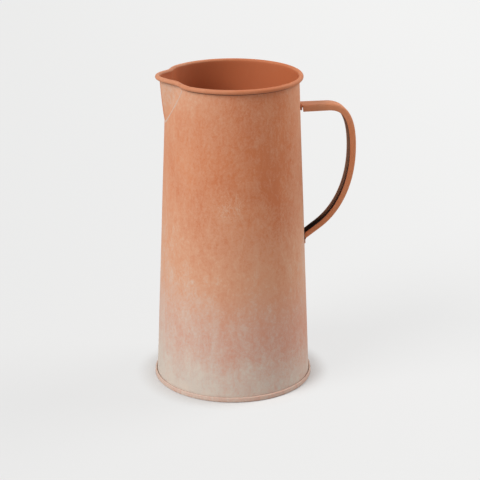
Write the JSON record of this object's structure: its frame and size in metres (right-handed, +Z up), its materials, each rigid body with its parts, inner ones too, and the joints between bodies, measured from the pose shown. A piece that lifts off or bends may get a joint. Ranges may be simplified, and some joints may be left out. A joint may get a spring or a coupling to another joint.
{
  "type": "sheet-metal pitcher",
  "caption": "Tall tapered sheet-metal pitcher with a rolled rim, a V-seamed pouring spout, a channel strap handle and a folded foot, in dusty terracotta lime-wash paint.",
  "frame": {"origin": "centre of the foot, on the surface the pitcher stands on", "axes": "+Z up the pitcher's axis, +X towards the handle, -X towards the spout"},
  "size_m": [0.1953, 0.1536, 0.3017],
  "materials": {
    "body_paint": "matte",
    "spout_paint": "matte",
    "weld_paint": "matte",
    "base_paint": "matte",
    "handle_paint": "satin",
    "wire": "satin",
    "seal": "matte"
  },
  "bodies": {
    "root": {"body_shell": "body_paint", "spout": "spout_paint", "spout_weld": "weld_paint", "rim_wire": "wire", "base_plate": "base_paint", "base_seal": "seal", "handle_strap": "handle_paint", "handle_weld_upper": "handle_paint", "handle_weld_lower": "handle_paint"}
  },
  "joints": []
}
